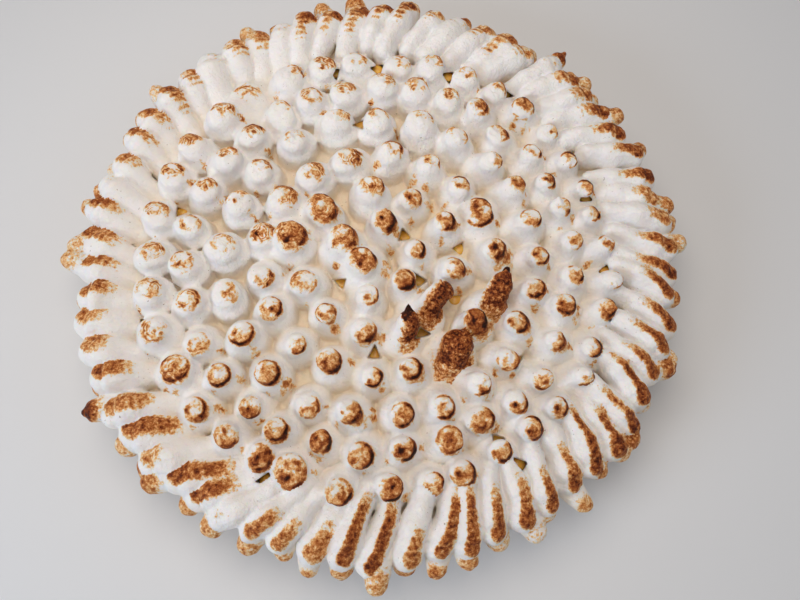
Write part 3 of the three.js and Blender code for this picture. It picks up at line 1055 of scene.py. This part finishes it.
def make_meringue(material):
    kisses = kiss_layout()
    strokes = stroke_layout()
    dress_kisses(kisses)
    dress_strokes(strokes)
    drops = drop_layout(strokes)
    grid = Grid((-176, -176, BASE - 2.4 * STEP), (176, 176, BASE + 34), STEP)
    owners, judges = [], []
    for pieces, distance, judge in (
        (kisses, kiss_distance, kiss_toast),
        (strokes, stroke_distance, stroke_toast),
        (drops, drop_distance, drop_toast),
    ):
        for piece in pieces:
            grid.add(len(owners), *distance(grid, piece))
            owners.append(piece)
            judges.append(judge)
    add_slab(grid)
    field = -BLEND * np.log(grid.sum + 1e-9)
    field += 0.3 * grid.noise(9, LOOKS_SEED + 4) + 0.14 * grid.noise(3.2, LOOKS_SEED + 5)
    carve_gaps(grid, field)
    field = np.maximum(field, BASE - grid.axes[2][None, None, :])
    vertices, quads, cells = surface_of(grid, field)
    quads = without_hollows(quads, len(vertices))
    normals = slopes_at(field, cells)
    attributes = {key: np.zeros(len(vertices)) for key in ("toast", "arc", "arcs", "grainy")}
    owner_here = grid.owner[tuple(cells.T)]
    for owner in np.unique(owner_here[owner_here >= 0]):
        mask = owner_here == owner
        looks = judges[owner](owners[owner], vertices[mask], normals[mask])
        for values, here in zip(attributes.values(), looks):
            values[mask] = here
    # A fine roughness, more of it where the foam is toasted
    rough = grid.noise(1.7, LOOKS_SEED + 6)[tuple(cells.T)]
    lift = rough * (0.05 + 0.14 * smooth(attributes["toast"], 0.4, 0.7))
    vertices += normals * np.where(vertices[:, 2] > BASE + 1, lift, 0)[:, None]
    # Painted shade: 1 at the foot of the meringue and 0 from 17 mm up, for the darker, warmer foam in the
    # valleys and creases
    attributes["painted_low_shade"] = 1 - smooth(vertices[:, 2] - BASE, 4, 17)
    quads, triangles = flat_underside(vertices, quads, BASE, 0.12 * STEP)
    groups = [piece.group for piece in owners]
    names = sorted(set(groups))
    group_of_owner = np.array([names.index(group) for group in groups] + [names.index("kisses_a")])
    group_of_quad = group_of_owner[owner_here[quads[:, 0]]]
    for number, name in enumerate(names):
        own_quads = quads[group_of_quad == number]
        own_triangles = triangles if name == "lower_tier" else ()
        piece = mesh_piece("meringue_" + name, material, vertices, own_quads, own_triangles, attributes)
        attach(piece, "root")
        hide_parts("meringue")


# ---- The crust ----


def make_crust(material):
    """A fluted shell with rounded edges, in the place of the solid one."""
    columns = FLUTES * 12
    inside = CRUST_RADIUS - CRUST_WALL
    foot = CRUST_RADIUS - CRUST_DRAFT
    rim = CRUST_RADIUS - CRUST_EDGE
    corner = [(CRUST_EDGE * math.cos(a), CRUST_EDGE * math.sin(a)) for a in np.radians(np.linspace(0, 90, 6))]
    side = np.linspace(CRUST_EDGE + 0.7, CRUST_HEIGHT - CRUST_EDGE - 0.5, 30)
    # From under the middle, out along the underside, up the side and in over the rim: radius and height
    outline = [(r, 0.0) for r in np.linspace(20, foot - CRUST_EDGE - 0.5, 8)]
    outline += [(foot - CRUST_EDGE + s, CRUST_EDGE - c) for c, s in corner]
    outline += [(foot + CRUST_DRAFT * z / CRUST_HEIGHT, z) for z in side]
    outline += [(rim + c - 0.1, CRUST_HEIGHT - CRUST_EDGE + s) for c, s in corner]
    outline += [(inside + 2.5, CRUST_HEIGHT), (inside, CRUST_HEIGHT), (inside - CRUST_DRAFT, CRUST_FLOOR)]
    r, z = np.array(outline).T[:, :, None]
    theta = np.arange(columns) * 2 * np.pi / columns
    crease = ((1 - np.cos(FLUTES * theta)) / 2) ** 1.5
    draws = looks_draws(7)
    wobble = 0
    for waves in (3, 5, 7, 11, 17):
        wobble += draws.uniform(0.05, 0.25) * np.sin(waves * theta + draws.uniform(0, 6))
    outer = r > inside + 1
    radius = r - smooth(r, foot - 12, foot - 1) * outer * FLUTE_DEPTH * crease
    relief = draws.normal(0, 1, radius.shape)
    for _ in range(3):
        relief = (relief + np.roll(relief, 1, 1) + np.roll(relief, -1, 1)) / 3
        relief[1:-1] = (relief[2:] + relief[:-2] + relief[1:-1]) / 3
    relief /= relief.std()
    open_side = outer & (z > 1) & (z < CRUST_HEIGHT - 0.2)
    radius = np.minimum(radius - open_side * (0.12 + 0.12 * relief - 0.5 * wobble), r + 0.4)
    points = np.stack([radius * np.cos(theta), radius * np.sin(theta), z + 0 * radius], -1)
    vertices = np.concatenate([points.reshape(-1, 3), [[0, 0, 0], [0, 0, CRUST_FLOOR]]])
    here = np.arange(radius.size).reshape(radius.shape)
    after = np.roll(here, -1, axis=1)
    quads = np.stack([here[:-1], after[:-1], after[1:], here[1:]], -1).reshape(-1, 4)
    bottom, top = np.full(columns, radius.size), np.full(columns, radius.size + 1)
    ends = np.concatenate([np.c_[bottom, after[0], here[0]], np.c_[top, here[-1], after[-1]]])
    height = vertices[:, 2]
    fold = np.concatenate([np.tile(crease, len(r)), [0, 0]])
    baked = 0.45 + 0.35 * smooth(height, 14, 25) + 0.15 * smooth(-height, -5, 0) - 0.22 * fold
    piece = mesh_piece("crust_shell", material, vertices, quads, ends, {"baked": baked})
    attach(piece, "root")
    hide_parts("crust")


# ---- Camera, floor and light ----


def camera_turn():
    """The camera's rotation: its columns are right, up and backwards in the pie's frame."""
    right_of_middle = NADIR_PIXEL[0] - PICTURE[0] / 2
    below_middle = NADIR_PIXEL[1] - PICTURE[1] / 2
    down = Vector((right_of_middle, below_middle, FOCAL_PIXELS)).normalized()
    east = (Vector((1, 0, 0)) - down * down.x).normalized()
    south = down.cross(east)
    # Rows: the picture's right, down and forward directions in the pie's frame
    right, below, forward = (Vector((east[i], -south[i], -down[i])) for i in range(3))
    return Matrix((right, -below, -forward)).transposed()


def add_object(name, data):
    made = bpy.data.objects.new(name, data)
    bpy.context.scene.collection.objects.link(made)
    return made


def make_camera():
    data = bpy.data.cameras.new("camera")
    data.sensor_width = SENSOR_WIDTH
    data.lens = FOCAL_PIXELS * SENSOR_WIDTH / PICTURE[0]
    data.clip_start = 0.01
    camera = add_object("camera", data)
    camera.matrix_world = Matrix.Translation(Vector(CAMERA_PLACE) * MM) @ camera_turn().to_4x4()
    bpy.context.scene.camera = camera


def make_floor(material):
    side = 4 / MM
    corners = np.array([(-side, -side, 0), (side, -side, 0), (side, side, 0), (-side, side, 0)])
    floor = mesh_piece("floor", material, corners, np.array([(0, 1, 2, 3)]))
    floor.location.z = -0.0002


def area_light(name, place, size, power, colour):
    data = bpy.data.lights.new(name, "AREA")
    data.shape = "DISK"
    data.size = size
    data.energy = power
    data.color = colour
    light = add_object(name, data)
    light.location = place
    light.rotation_euler = (-Vector(place)).to_track_quat("-Z", "Y").to_euler()


def make_light():
    area_light("window", (-1.1, -0.68, 0.6), 0.65, 8.6, (0.7, 0.84, 1.0))
    area_light("lamp", (-0.06, 0.06, 0.5), 0.4, 1.24, (1.0, 0.88, 0.75))
    area_light("sky", (1.3, -0.1, 0.9), 0.8, 1.7, (0.56, 0.78, 1.0))
    world = bpy.data.worlds.new("room")
    world.use_nodes = True
    background = world.node_tree.nodes["Background"]
    background.inputs["Color"].default_value = (1.0, 0.93, 0.87, 1)
    background.inputs["Strength"].default_value = 0.33
    bpy.context.scene.world = world
    bpy.context.scene.view_settings.view_transform = "Standard"


def main():
    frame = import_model()
    make_camera()
    make_light()
    make_floor(floor_material())
    make_meringue(meringue_material())
    make_crust(pastry_material())
    curd = frame["nodes"]["lemon_filling"]
    curd.data.materials.clear()
    lemon = curd_material()
    curd.data.materials.append(lemon)
    make_curd_swells(lemon)


main()
